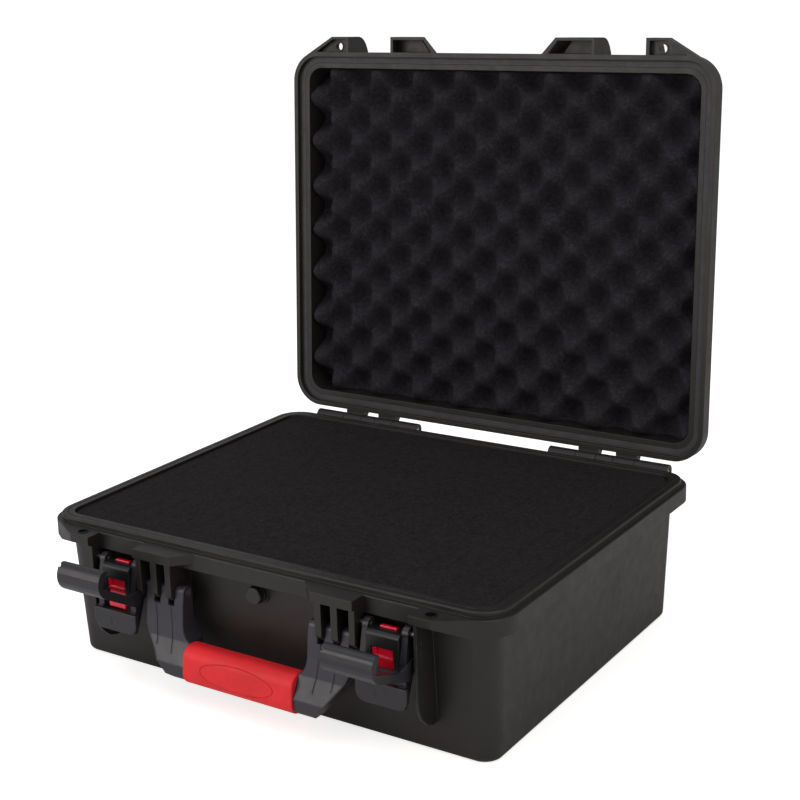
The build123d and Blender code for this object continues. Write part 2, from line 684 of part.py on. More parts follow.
def lever_pins():
    right = rod_x(LEVER_Y, LEVER_Z, LEVER_PIN_RADIUS, *LEVER_PIN_ENDS)
    return right, mirrored_x(right)


def latch_spring():
    """Upright coil that pushes the slider back up."""
    wire = 0.6
    bottom = SPRING_SEAT_Z + wire + 0.1
    top = BRIDGE_Z - wire - 0.1
    coil = Helix(pitch=2.3, height=top - bottom, radius=3.3)
    section = Plane(origin=coil @ 0, z_dir=coil % 0) * Circle(wire)
    return Pos(0, SPRING_Y, bottom) * sweep(section, path=coil)


# ---------------------------------------------------------------- nodes


def nodes():
    parts = {
        "base_shell": base_shell(),
        "padlock_eyelets_base": padlock_eyelets_base(),
        "foam_floor_pad": foam_layer(FLOOR, 16.0),
        "foam_pluck_lower": foam_layer(16.2, 74.0),
        "foam_pluck_upper": foam_layer(74.2, BASE_FOAM_TOP_Z),
        "valve_body": valve_body(),
        "valve_seal": valve_seal(),
        "valve_nut": valve_nut(),
        "valve_membrane": valve_membrane(),
        "valve_knob": valve_knob(),
        "lid_shell": opened(lid_shell_shut()),
        "lid_seal": opened(lid_seal_shut()),
        "lid_foam": opened(lid_foam_shut()),
        "padlock_eyelets_lid": padlock_eyelets_lid_shut(),
        "handle_frame": handle_frame(),
        "handle_grip": handle_grip(),
    }
    for side, sign in SIDES.items():
        parts[f"hinge_pin_{side}"] = hinge_pin(sign)
        parts[f"handle_pin_{side}"] = handle_pin(sign)
        parts[f"latch_frame_{side}"] = placed(latch_frame(), side)
        parts[f"latch_slider_{side}"] = placed(latch_slider(), side)
        parts[f"latch_lever_{side}"] = placed(latch_lever(), side)
        parts[f"latch_hook_{side}"] = placed(swung(latch_hook(), side), side)
        parts[f"latch_hook_pins_{side}"] = as_group(*[placed(pin, side) for pin in hook_pins()])
        parts[f"latch_lever_pins_{side}"] = as_group(*[placed(pin, side) for pin in lever_pins()])
        parts[f"latch_spring_{side}"] = placed(latch_spring(), side)
    return parts


os.makedirs("parts", exist_ok=True)
for node, shape in nodes().items():
    export_step(shape, f"parts/{node}.step")
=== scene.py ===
"""Looks for the hard equipment case: foam, plastics, metals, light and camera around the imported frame."""

import json
from math import cos, pi, radians, sin

import bpy
import numpy as np
from mathutils import Matrix, Vector


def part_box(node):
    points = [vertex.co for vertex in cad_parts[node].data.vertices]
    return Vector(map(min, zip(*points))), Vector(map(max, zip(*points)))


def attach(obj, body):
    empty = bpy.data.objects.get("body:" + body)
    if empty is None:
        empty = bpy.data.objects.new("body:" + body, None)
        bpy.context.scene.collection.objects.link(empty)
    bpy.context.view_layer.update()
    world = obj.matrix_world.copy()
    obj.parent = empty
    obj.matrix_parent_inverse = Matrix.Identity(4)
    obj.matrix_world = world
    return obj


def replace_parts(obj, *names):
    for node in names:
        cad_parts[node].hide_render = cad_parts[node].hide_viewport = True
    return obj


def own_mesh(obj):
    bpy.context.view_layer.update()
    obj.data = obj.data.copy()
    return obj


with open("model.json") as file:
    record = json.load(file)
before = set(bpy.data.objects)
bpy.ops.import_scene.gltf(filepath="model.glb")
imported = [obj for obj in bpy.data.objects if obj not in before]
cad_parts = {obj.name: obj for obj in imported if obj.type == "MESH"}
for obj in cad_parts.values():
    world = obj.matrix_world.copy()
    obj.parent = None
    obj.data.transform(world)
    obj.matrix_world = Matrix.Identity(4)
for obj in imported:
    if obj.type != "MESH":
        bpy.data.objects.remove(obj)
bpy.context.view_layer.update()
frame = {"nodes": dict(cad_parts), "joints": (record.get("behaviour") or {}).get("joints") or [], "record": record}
NODES = frame["nodes"]


MM = 0.001

# ---------------------------------------------------------------- places, from the frame

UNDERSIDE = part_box("base_shell")[0].z
LID_JOINT = next(j for j in frame["joints"] if j["name"] == "lid_hinge")
HINGE = Vector(LID_JOINT["pos_m"])
OPEN_ANGLE = radians(LID_JOINT["range_deg"][1])
UPPER_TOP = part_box("foam_pluck_upper")[1]
LOWER_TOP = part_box("foam_pluck_lower")[1]


# ---------------------------------------------------------------- node helpers

MIX_SHARE, MIX_COLOUR_A, MIX_COLOUR_B = 0, 6, 7  # a colour mix node's inputs
MIX_COLOUR_OUT = 2
BEVEL_SAMPLES = 4
EDGE_COSINES = (0.995, 0.90)  # how far a rounded normal leans: at the start of an edge, and on it


class Nodes:
    """Short calls for building one material's node tree."""

    def __init__(self, name):
        self.material = bpy.data.materials.new(name)
        self.material.use_nodes = True
        self.tree = self.material.node_tree
        self.tree.nodes.clear()
        self.output = self.add("ShaderNodeOutputMaterial")
        self.shader = self.add("ShaderNodeBsdfPrincipled")
        self.link(self.shader.outputs[0], self.output.inputs["Surface"])
        coordinates = self.add("ShaderNodeTexCoord")
        self.place = coordinates.outputs["Object"]

    def add(self, kind, **values):
        """A new node with some of its settings changed."""
        node = self.tree.nodes.new(kind)
        for key, value in values.items():
            setattr(node, key, value)
        return node

    def link(self, source, target):
        self.tree.links.new(source, target)

    def set(self, target, value):
        """Joins a socket to an input, or gives the input a plain value."""
        if isinstance(value, bpy.types.NodeSocket):
            self.link(value, target)
        else:
            target.default_value = value

    def noise(self, size, detail=3.0, roughness=0.55, stretch=None, distortion=0.0):
        """Noise whose features are about size metres across."""
        node = self.add("ShaderNodeTexNoise")
        node.inputs["Scale"].default_value = 1.0 / size
        node.inputs["Detail"].default_value = detail
        node.inputs["Roughness"].default_value = roughness
        node.inputs["Distortion"].default_value = distortion
        self.link(self.mapped(stretch), node.inputs["Vector"])
        return node.outputs["Fac"]

    def cells(self, size):
        """Distance to the nearest of a scatter of points about size metres apart."""
        node = self.add("ShaderNodeTexVoronoi", feature="F1")
        node.inputs["Scale"].default_value = 1.0 / size
        self.link(self.place, node.inputs["Vector"])
        return node.outputs["Distance"]

    def mapped(self, stretch):
        """The place in the piece, in metres, stretched along each axis where asked."""
        if stretch is None:
            return self.place
        node = self.add("ShaderNodeMapping")
        node.inputs["Scale"].default_value = stretch
        self.link(self.place, node.inputs["Vector"])
        return node.outputs[0]

    def span(self, source, low, high, to_low=0.0, to_high=1.0):
        """Maps low..high to to_low..to_high and holds it there beyond."""
        node = self.add("ShaderNodeMapRange")
        node.inputs["From Min"].default_value = low
        node.inputs["From Max"].default_value = high
        node.inputs["To Min"].default_value = to_low
        node.inputs["To Max"].default_value = to_high
        self.link(source, node.inputs["Value"])
        return node.outputs[0]

    def math(self, operation, a, b):
        node = self.add("ShaderNodeMath", operation=operation)
        self.set(node.inputs[0], a)
        self.set(node.inputs[1], b)
        return node.outputs[0]

    def mix(self, share, a, b):
        """Colour a where share is 0 and colour b where it is 1."""
        node = self.add("ShaderNodeMix", data_type="RGBA")
        self.set(node.inputs[MIX_SHARE], share)
        self.set(node.inputs[MIX_COLOUR_A], a)
        self.set(node.inputs[MIX_COLOUR_B], b)
        return node.outputs[MIX_COLOUR_OUT]

    def bump(self, height, strength, distance, under=None):
        """A normal roughened by a height, on top of another normal if given."""
        node = self.add("ShaderNodeBump")
        node.inputs["Strength"].default_value = strength
        node.inputs["Distance"].default_value = distance
        self.link(height, node.inputs["Height"])
        if under is not None:
            self.link(under, node.inputs["Normal"])
        return node.outputs[0]

    def rounded(self, radius):
        """A normal that rounds off edges over a small radius."""
        node = self.add("ShaderNodeBevel", samples=BEVEL_SAMPLES)
        node.inputs["Radius"].default_value = radius
        return node.outputs[0]

    def edges(self, radius):
        """1 near an edge, 0 away from it."""
        geometry = self.add("ShaderNodeNewGeometry")
        dot = self.add("ShaderNodeVectorMath", operation="DOT_PRODUCT")
        self.link(self.rounded(radius), dot.inputs[0])
        self.link(geometry.outputs["Normal"], dot.inputs[1])
        return self.span(dot.outputs["Value"], *EDGE_COSINES)

    def seen(self):
        """1 for what the camera sees directly, 0 for light on its way to something else."""
        return self.add("ShaderNodeLightPath").outputs["Is Camera Ray"]

    def put(self, name, value):
        """Gives the surface shader one of its values."""
        self.set(self.shader.inputs[name], value)


def rgb(red, green, blue):
    """A solid colour, in linear light."""
    return (red, green, blue, 1.0)


def scaled(colour, factor):
    """A colour made brighter or darker."""
    return rgb(*[min(1.0, c * factor) for c in colour[:3]])


# ---------------------------------------------------------------- materials
# Noise and cell sizes, bevel radii and bump distances are in metres. A span's first two numbers are the
# stretch of the noise that is used; shares, roughness and strengths run from 0 to 1.

RUB_AND_HIGHLIGHT_WIDTH = 1.1 * MM  # rubbed strip along the edges of moulded plastic, partly a painted highlight
EDGE_ROUND = 0.9 * MM  # how far moulded edges look rounded
HANDLE_ROUND = 2.2 * MM  # the same for the handle, which is softer in shape


def moulded_plastic(name, colour, grain, roughness, edge=1.8, scuffs=0.5, softness=EDGE_ROUND):
    """Moulded plastic: spark-eroded grain, faint mottling, edges paler from rubbing and a painted highlight, and
    fine scuffs.
    """
    n = Nodes(name)
    mottle = n.span(n.noise(0.035, 4.0), 0.35, 0.65)
    tone = n.mix(mottle, scaled(colour, 0.93), scaled(colour, 1.08))
    scratches = n.noise(0.004, 5.0, 0.7, stretch=(0.25, 1.0, 3.0), distortion=0.6)
    scratches = n.span(scratches, 0.60, 0.72)
    dust = n.span(n.noise(0.09, 5.0, 0.6), 0.45, 0.75)
    tone = n.mix(n.math("MULTIPLY", scratches, 0.10 * scuffs), tone, scaled(colour, 2.6))
    # the edges are lighter by the edge factor: partly rubbed wear, partly a painted highlight
    rub_and_painted_highlight = n.math("MULTIPLY", n.edges(RUB_AND_HIGHLIGHT_WIDTH), n.span(n.noise(0.006, 4.0), 0.25, 0.7))
    tone = n.mix(rub_and_painted_highlight, tone, scaled(colour, edge))
    n.put("Base Color", tone)
    rough = n.span(n.noise(0.012, 4.0), 0.3, 0.7, roughness - 0.05, roughness + 0.06)
    rough = n.math("ADD", rough, n.math("MULTIPLY", dust, 0.06))
    n.put("Roughness", n.math("SUBTRACT", rough, n.math("MULTIPLY", rub_and_painted_highlight, 0.10)))
    n.put("Specular IOR Level", 0.5)
    flow = n.bump(n.noise(0.022, 2.0), 0.10, 0.0006, n.rounded(softness))
    n.put("Normal", n.bump(n.noise(grain, 2.0, 0.6), 0.22, 0.00016, flow))
    return n.material


def soft_grip(name, colour):
    """Overmoulded elastomer: warm, slightly scattering, with a fine leathery skin."""
    n = Nodes(name)
    mottle = n.span(n.noise(0.020, 3.0), 0.35, 0.65)
    tone = n.mix(mottle, scaled(colour, 0.92), scaled(colour, 1.06))
    grime = n.span(n.noise(0.045, 5.0, 0.6), 0.55, 0.80, 0.0, 0.25)
    tone = n.mix(grime, tone, scaled(colour, 0.55))
    n.put("Base Color", tone)
    n.put("Roughness", n.span(n.noise(0.006, 4.0), 0.3, 0.7, 0.46, 0.60))
    n.put("Specular IOR Level", 0.40)
    n.put("Subsurface Weight", 0.12)
    n.put("Subsurface Radius", (1.0, 0.25, 0.18))
    n.put("Subsurface Scale", 0.002)
    skin = n.bump(n.cells(0.0009), 0.18, 0.00012, n.rounded(0.0008))
    n.put("Normal", n.bump(n.noise(0.010, 2.0), 0.15, 0.0004, skin))
    return n.material


def clear_red(name, colour):
    """Glossy translucent plastic for the release sliders."""
    n = Nodes(name)
    depth = n.span(n.noise(0.010, 3.0), 0.3, 0.7)
    n.put("Base Color", n.mix(depth, scaled(colour, 0.85), scaled(colour, 1.12)))
    n.put("Roughness", n.span(n.noise(0.005, 4.0), 0.35, 0.7, 0.08, 0.18))
    n.put("Subsurface Weight", 0.30)
    n.put("Subsurface Radius", (1.0, 0.08, 0.08))
    n.put("Subsurface Scale", 0.004)
    n.put("Coat Weight", 0.4)
    n.put("Coat Roughness", 0.08)
    n.put("Normal", n.bump(n.noise(0.006, 2.0), 0.08, 0.0002, n.rounded(0.0004)))
    return n.material


def open_foam(name, colour):
    """Open-cell polyurethane foam: painted shade in its pores, hollows and pits, paler struts and a few glints."""
    n = Nodes(name)
    pores = n.cells(0.0016)
    fine = n.noise(0.0009, 4.0, 0.7)
    # painted shade in the pores, against paler struts
    speckle = n.math("MULTIPLY", n.span(pores, 0.10, 0.75), n.span(fine, 0.30, 0.70))
    tone = n.mix(speckle, scaled(colour, 0.40), scaled(colour, 1.85))
    clumps = n.span(n.noise(0.0024, 2.0, 0.5), 0.36, 0.66)
    tone = n.mix(n.math("MULTIPLY", clumps, 0.65), tone, scaled(colour, 1.7))
    # painted shade in the foam's hollows
    hollows = n.span(n.noise(0.0040, 2.0, 0.5), 0.40, 0.60, 0.60, 0.0)
    tone = n.mix(hollows, tone, scaled(colour, 0.45))
    # painted shade in scattered pits
    shaded_pits = n.span(n.cells(0.0062), 0.10, 0.20)
    tone = n.mix(shaded_pits, scaled(colour, 0.55), tone)
    patches = n.span(n.noise(0.030, 4.0), 0.35, 0.65)
    tone = n.mix(n.math("MULTIPLY", patches, 0.30), tone, scaled(colour, 1.25))
    glints = n.span(n.noise(0.0016, 2.0, 0.5), 0.70, 0.78)
    tone = n.mix(n.math("MULTIPLY", glints, 0.35), tone, scaled(colour, 5.0))
    n.put("Base Color", tone)
    n.put("Roughness", 0.95)
    n.put("Specular IOR Level", 0.15)
    ragged = n.bump(n.cells(0.0024), 0.35, 0.0006)
    n.put("Normal", n.bump(n.math("ADD", pores, fine), 0.8, 0.0007, ragged))
    return n.material


def gasket_rubber(name, colour):
    """Matt rubber with a pale bloom."""
    n = Nodes(name)
    bloom = n.span(n.noise(0.015, 4.0), 0.35, 0.7)
    n.put("Base Color", n.mix(bloom, colour, scaled(colour, 1.5)))
    n.put("Roughness", n.span(n.noise(0.004, 4.0), 0.3, 0.7, 0.55, 0.72))
    n.put("Normal", n.bump(n.noise(0.0015, 3.0), 0.15, 0.0002, n.rounded(0.0006)))
    return n.material


LINE_STRETCH = 0.03  # the lines in steel are about thirty times as long as they are wide


def turned_steel(name, colour, roughness, along):
    """Drawn or pressed steel with fine lines along one axis and light stains."""
    n = Nodes(name)
    stretch = [1.0, 1.0, 1.0]
    stretch[along] = LINE_STRETCH
    lines = n.noise(0.0004, 3.0, 0.6, stretch=tuple(stretch))
    stain = n.span(n.noise(0.006, 4.0), 0.40, 0.75)
    n.put("Base Color", n.mix(stain, colour, scaled(colour, 0.72)))
    n.put("Metallic", 1.0)
    n.put("Roughness", n.span(lines, 0.3, 0.7, roughness - 0.06, roughness + 0.10))
    n.put("Normal", n.bump(lines, 0.12, 0.00005, n.rounded(0.0003)))
    return n.material


def porous_sheet(name):
    """White porous membrane with a fine web."""
    n = Nodes(name)
    web = n.noise(0.0003, 4.0, 0.7)
    n.put("Base Color", n.mix(n.span(web, 0.3, 0.7), rgb(0.70, 0.70, 0.67), rgb(0.90, 0.90, 0.88)))
    n.put("Roughness", 0.7)
    n.put("Normal", n.bump(web, 0.3, 0.0001))
    return n.material


CASE_BLACK = rgb(0.0105, 0.0088, 0.0078)
SLATE = rgb(0.027, 0.0256, 0.035)
LATCH_SLATE = rgb(0.0165, 0.0158, 0.0200)
LATCH_DARK = rgb(0.006, 0.0064, 0.0064)
VALVE_DARK = rgb(0.012, 0.012, 0.0125)
# one foam in two copies: darker with painted shade for the base layers, paler with painted light for the lid
FOAM_SHADED_COPY = rgb(0.0165, 0.0148, 0.0156)
FOAM_LIT_COPY = rgb(0.0258, 0.0228, 0.0292)
GRIP_RED = rgb(0.80, 0.017, 0.022)
SLIDER_RED = rgb(0.74, 0.003, 0.026)
SEAL_GREY = rgb(0.035, 0.035, 0.038)
BRIGHT_STEEL = rgb(0.56, 0.56, 0.57)
BLACK_STEEL = rgb(0.05, 0.05, 0.052)
SPRING_STEEL = rgb(0.34, 0.34, 0.35)
ALONG_X, ALONG_Z = 0, 2

MATERIALS = {
    "case_plastic": moulded_plastic("case_plastic", CASE_BLACK, 0.00055, 0.44, edge=2.6),
    "handle_plastic": moulded_plastic(
        "handle_plastic", SLATE, 0.0005, 0.34, edge=1.5, scuffs=0.3, softness=HANDLE_ROUND
    ),
    "latch_grey": moulded_plastic("latch_grey", LATCH_SLATE, 0.0004, 0.33, edge=1.5, scuffs=0.3),
    "latch_black": moulded_plastic("latch_black", LATCH_DARK, 0.0004, 0.38, edge=1.8, scuffs=0.3),
    "valve_plastic": moulded_plastic("valve_plastic", VALVE_DARK, 0.0004, 0.40, edge=1.8),
    "grip_red": soft_grip("grip_red", GRIP_RED),
    "slider_red": clear_red("slider_red", SLIDER_RED),
    "foam_flat": open_foam("foam_flat", FOAM_SHADED_COPY),
    "foam_eggcrate": open_foam("foam_eggcrate", FOAM_LIT_COPY),
    "seal_rubber": gasket_rubber("seal_rubber", SEAL_GREY),
    "steel_pin": turned_steel("steel_pin", BRIGHT_STEEL, 0.30, ALONG_X),
    "steel_blackened": turned_steel("steel_blackened", BLACK_STEEL, 0.42, ALONG_Z),
    "spring_steel": turned_steel("spring_steel", SPRING_STEEL, 0.35, ALONG_X),
    "membrane": porous_sheet("membrane"),
}


def paint_frame():
    """Gives every CAD node the material of its slot in the record."""
    for entry in frame["record"]["subparts"]:
        node = NODES[entry["node"]]
        node.data.materials.clear()
        node.data.materials.append(MATERIALS[entry["material_slot"]])


# ---------------------------------------------------------------- mesh helpers


def new_piece(name, points, faces, slot, body):
    """A smooth mesh piece in a material slot, riding one of the frame's bodies."""
    mesh = bpy.data.meshes.new(name)
    mesh.from_pydata([tuple(p) for p in points], [], faces)
    mesh.update()
    mesh.shade_smooth()
    piece = bpy.data.objects.new(name, mesh)
    bpy.context.scene.collection.objects.link(piece)
    mesh.materials.append(MATERIALS[slot])
    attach(piece, body)
    return piece


def smooth_noise(shape, cells, seed):
    """Value noise over a grid, eased between its cells, from -1 to 1."""
    rng = np.random.default_rng(seed)
    grid = rng.uniform(-1, 1, (cells[0] + 2, cells[1] + 2))
    u = np.linspace(0, cells[0], shape[0])
    v = np.linspace(0, cells[1], shape[1])
    i, j = u.astype(int), v.astype(int)
    a, b = (u - i)[:, None], (v - j)[None, :]
    a, b = a * a * (3 - 2 * a), b * b * (3 - 2 * b)
    i, j = i[:, None], j[None, :]
    low = grid[i, j] * (1 - a) + grid[i + 1, j] * a
    high = grid[i, j + 1] * (1 - a) + grid[i + 1, j + 1] * a
    return low * (1 - b) + high * b


def rounded_half_width(y, half_x, half_y, corner):
    """Half the width of a rounded rectangle at height y."""
    beyond = np.clip(np.abs(y) - (half_y - corner), 0, corner)
    return half_x - corner + np.sqrt(np.maximum(corner * corner - beyond * beyond, 0))


def slab_faces(rows, columns):
    """Faces of a closed slab: a top grid, then a bottom grid of the same shape, joined round the edge."""
    top = np.arange(rows * columns).reshape(rows, columns)
    bottom = top + rows * columns
    faces = []
    for grid, flip in ((top, False), (bottom, True)):
        quads = np.stack([grid[:-1, :-1], grid[:-1, 1:], grid[1:, 1:], grid[1:, :-1]], -1).reshape(-1, 4)
        faces += (quads[:, ::-1] if flip else quads).tolist()
    around = list(top[0, :]) + list(top[1:, -1]) + list(top[-1, -2::-1]) + list(top[-2:0:-1, 0])
    offset = rows * columns
    for first, second in zip(around, around[1:] + around[:1]):
        faces.append([int(second), int(first), int(first + offset), int(second + offset)])
    return faces


# ---------------------------------------------------------------- base foam

CUBE_X = 18.0 * MM  # pre-cut foam cubes
CUBE_Y = 18.7 * MM
CUBE_COLUMNS = 22
CUBE_ROWS = 16
CUBE_SHIFT_Y = 1.25 * MM  # the cubes are not quite central
CUT_HALF = 0.14 * MM  # half the width of a slit
CUT_DEPTH = 0.32 * MM
TIE_SHARE = 0.36  # share of each cube side left joined
CUBE_STEPS = 5  # grid lines across a cube
BORDER_STEPS = 4  # grid lines across the uncut border
EDGE_BAND = 1.2 * MM  # the top rounds over within this distance of its edge
EDGE_DROP = 0.9 * MM
TOP_GAP = 0.3 * MM  # the top lies this far below its CAD solid's
CUBE_UNEVEN = 0.02 * MM  # spread of the cubes' heights
TOP_WAVE = 0.18 * MM  # slow rise and fall of the whole top
LAYER_RISE = UPPER_TOP.z - LOWER_TOP.z
SLOPE_X = (UPPER_TOP.x - LOWER_TOP.x) / LAYER_RISE  # how the base's walls lean
SLOPE_Y = (UPPER_TOP.y - LOWER_TOP.y) / LAYER_RISE
CORNER_SLOPE = 0.0155  # change of the corner radius with height
FOAM_LAYERS = (  # piece, CAD node, corner radius at the top, random seed, pre-cut or not
    ("foam_upper_layer", "foam_pluck_upper", 14.0 * MM, 11, True),
    ("foam_lower_layer", "foam_pluck_lower", 13.1 * MM, 23, True),
    ("foam_floor_sheet", "foam_floor_pad", 12.2 * MM, 37, False),
)


def between(a, b, count):
    """Evenly spaced values between a and b, without the two ends."""
    return list(np.linspace(a, b, count + 2)[1:-1])


def cut_lines(count, pitch, low, high, shift):
    """Grid positions along one side: three at each cut, and a few across each cube."""
    cuts = (np.arange(count + 1) - count / 2) * pitch + shift
    marks = []
    for cut in cuts:
        marks += [cut - CUT_HALF, cut, cut + CUT_HALF]
    for a, b in zip(cuts[:-1], cuts[1:]):
        marks += between(a, b, CUBE_STEPS)
    for a, b in ((low, cuts[0]), (cuts[-1], high)):
        marks += between(a, b, BORDER_STEPS)
    for inset in (0.0, 0.35 * EDGE_BAND, EDGE_BAND):
        marks += [low + inset, high - inset]
    return np.array(sorted(marks)), cuts


def cut_profile(values, cuts):
    """1 on a cut line, 0 elsewhere."""
    nearest = np.min(np.abs(values[:, None] - cuts[None, :]), axis=1)
    return (nearest < CUT_HALF * 0.5).astype(float)


def joined(values, cuts, pitch):
    """1 where a cube side is left uncut, in the middle of each side and outside the cut area."""
    phase = (values - cuts[0]) / pitch
    middle = np.abs(phase - np.floor(phase) - 0.5) < TIE_SHARE / 2
    outside = (values < cuts[0] - CUT_HALF) | (values > cuts[-1] + CUT_HALF)
    return (middle | outside).astype(float)


def foam_relief(xs, ys, x_cuts, y_cuts, seed, cut):
    """Height of a layer's top about its mean: slightly uneven cubes, a slow wave and the slits."""
    shape = (len(ys), len(xs))
    rng = np.random.default_rng(seed)
    heights = rng.normal(0, CUBE_UNEVEN, (CUBE_ROWS + 2, CUBE_COLUMNS + 2))
    column = np.clip(np.searchsorted(x_cuts, xs), 0, CUBE_COLUMNS + 1)
    row = np.clip(np.searchsorted(y_cuts, ys), 0, CUBE_ROWS + 1)
    relief = heights[row[:, None], column[None, :]] + TOP_WAVE * smooth_noise(shape, (9, 12), seed + 1)
    if cut:
        slit_x = cut_profile(xs, x_cuts)[None, :] * (1 - joined(ys, y_cuts, CUBE_Y))[:, None]
        slit_y = cut_profile(ys, y_cuts)[:, None] * (1 - joined(xs, x_cuts, CUBE_X))[None, :]
        uneven = 0.75 + 0.25 * smooth_noise(shape, (40, 50), seed + 2)
        relief -= CUT_DEPTH * np.maximum(slit_x, slit_y) * uneven
    return relief


def foam_slab(name, low, high, seed, corner, cut):
    """A flat foam layer with its top edge rounded over, narrowing downwards with the base."""
    half_x, half_y = (high.x - low.x) / 2, (high.y - low.y) / 2
    xs, x_cuts = cut_lines(CUBE_COLUMNS, CUBE_X, -half_x, half_x, 0.0)
    ys, y_cuts = cut_lines(CUBE_ROWS, CUBE_Y, -half_y, half_y, CUBE_SHIFT_Y)

    width = rounded_half_width(ys, half_x, half_y, corner)
    x = xs[None, :] * (width / half_x)[:, None]
    y = np.repeat(ys[:, None], len(xs), axis=1)
    inset = np.minimum(width[:, None] - np.abs(x), half_y - np.abs(y))
    edge = np.clip(1 - inset / EDGE_BAND, 0, 1)
    relief = foam_relief(xs, ys, x_cuts, y_cuts, seed, cut)
    top = np.minimum(high.z - TOP_GAP + relief - EDGE_DROP * edge**2, high.z)
    upper = np.stack([x, y, top], -1).reshape(-1, 3)

    thickness = high.z - low.z
    foot_x, foot_y = half_x - SLOPE_X * thickness, half_y - SLOPE_Y * thickness
    y = y * (foot_y / half_y)
    width = rounded_half_width(y[:, 0], foot_x, foot_y, corner - CORNER_SLOPE * thickness)
    x = xs[None, :] * (width / half_x)[:, None]
    lower = np.stack([x, y, np.full(x.shape, low.z)], -1).reshape(-1, 3)
    points = np.concatenate([upper, lower])
    return new_piece(name, points, slab_faces(*x.shape), "foam_flat", "base")


def base_foam():
    """The three foam layers in the base, each in place of its plain CAD solid."""
    for name, node, corner, seed, cut in FOAM_LAYERS:
        low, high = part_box(node)
        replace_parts(foam_slab(name, low, high, seed, corner, cut), node)


# ---------------------------------------------------------------- lid foam

BUMP_PITCH_X = 50.0 * MM
BUMP_PITCH_Y = 46.7 * MM
BUMP_SHIFT_X = -10.0 * MM
BUMP_SHIFT_Y = -2.0 * MM
BUMP_HEIGHT = 28.0 * MM
BUMP_FULLNESS = 0.86  # under 1 makes the bumps fuller than a plain wave
BUMP_WANDER = 1.3 * MM  # how far the bumps stray from an even lattice
PEAK_GAP = 0.6 * MM  # the peaks lie this far inside their CAD solid's face
DEEPEST = 1.1  # the hollows end here, as a share of the bump height
BUMP_SWELL = 0.05  # how much taller or flatter some bumps are
FACE_UNEVEN = 0.25 * MM  # fine roughness of the face
FACE_TAPER = 0.0115  # share of its width that the foam loses from its peaks to its back
BACK_SHARE = 0.985  # size of the back against the face
LID_FOAM_CORNER = 14.0 * MM
LID_FOAM_STEP = 1.7 * MM  # distance between grid lines
LID_SEED = 51


def shut_place(point):
    """Where a point of the open lid lies once the lid is shut."""
    return Matrix.Rotation(OPEN_ANGLE, 3, "X") @ (point - HINGE) + HINGE


def open_place(points):
    """Swings points of the shut lid back to the open lid."""
    c, s = cos(-OPEN_ANGLE), sin(-OPEN_ANGLE)
    y, z = points[..., 1] - HINGE.y, points[..., 2] - HINGE.z
    return np.stack([points[..., 0], HINGE.y + y * c - z * s, HINGE.z + y * s + z * c], -1)


def shut_box(node):
    """Lowest and highest corner of a lid node once the lid is shut."""
    vertices = [shut_place(v.co) for v in NODES[node].data.vertices]
    low = Vector([min(v[i] for v in vertices) for i in range(3)])
    high = Vector([max(v[i] for v in vertices) for i in range(3)])
    return low, high


def egg_crate():
    """Convoluted foam: rounded peaks on a diamond lattice, cut off square at the sides of the lid."""
    low, high = shut_box("lid_foam")
    half_x, half_y = high.x, high.y
    columns = int(2 * half_x / LID_FOAM_STEP)
    rows = int(2 * half_y / LID_FOAM_STEP)
    ys = np.linspace(-half_y, half_y, rows)
    width = rounded_half_width(ys, half_x, half_y, LID_FOAM_CORNER)
    x = np.linspace(-1, 1, columns)[None, :] * width[:, None]
    y = np.repeat(ys[:, None], columns, axis=1)
    shape = x.shape

    wander_x = BUMP_WANDER * smooth_noise(shape, (9, 11), LID_SEED)
    wander_y = BUMP_WANDER * smooth_noise(shape, (9, 11), LID_SEED + 1)
    wave = np.cos(2 * pi * (x - BUMP_SHIFT_X + wander_x) / BUMP_PITCH_X)
    wave *= np.cos(2 * pi * (y - BUMP_SHIFT_Y + wander_y) / BUMP_PITCH_Y)
    wave = np.sign(wave) * np.abs(wave) ** BUMP_FULLNESS
    swell = 1 + BUMP_SWELL * smooth_noise(shape, (12, 14), LID_SEED + 2)
    share = (1 - wave * swell) / 2  # 0 on a peak, 1 in a hollow
    face = low.z + PEAK_GAP + BUMP_HEIGHT * np.clip(share, 0, DEEPEST)
    face += FACE_UNEVEN * smooth_noise(shape, (90, 110), LID_SEED + 3)
    face = np.maximum(face, low.z)

    depth = (face - low.z) / (high.z - low.z)  # the lid narrows towards its top
    taper = 1 - depth * FACE_TAPER
    front = np.stack([x * taper, y * taper, face], -1).reshape(-1, 3)
    back = np.stack([x * BACK_SHARE, y * BACK_SHARE, np.full(shape, high.z)], -1).reshape(-1, 3)
    points = open_place(np.concatenate([front, back]))
    faces = [list(reversed(f)) for f in slab_faces(*shape)]
    foam = new_piece("lid_egg_crate_foam", points, faces, "foam_eggcrate", "lid")
    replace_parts(foam, "lid_foam")


# ---------------------------------------------------------------- slider springs

WIRE = 0.6 * MM
COIL_TURNS = 8
STEPS_PER_TURN = 28
WIRE_SIDES = 10


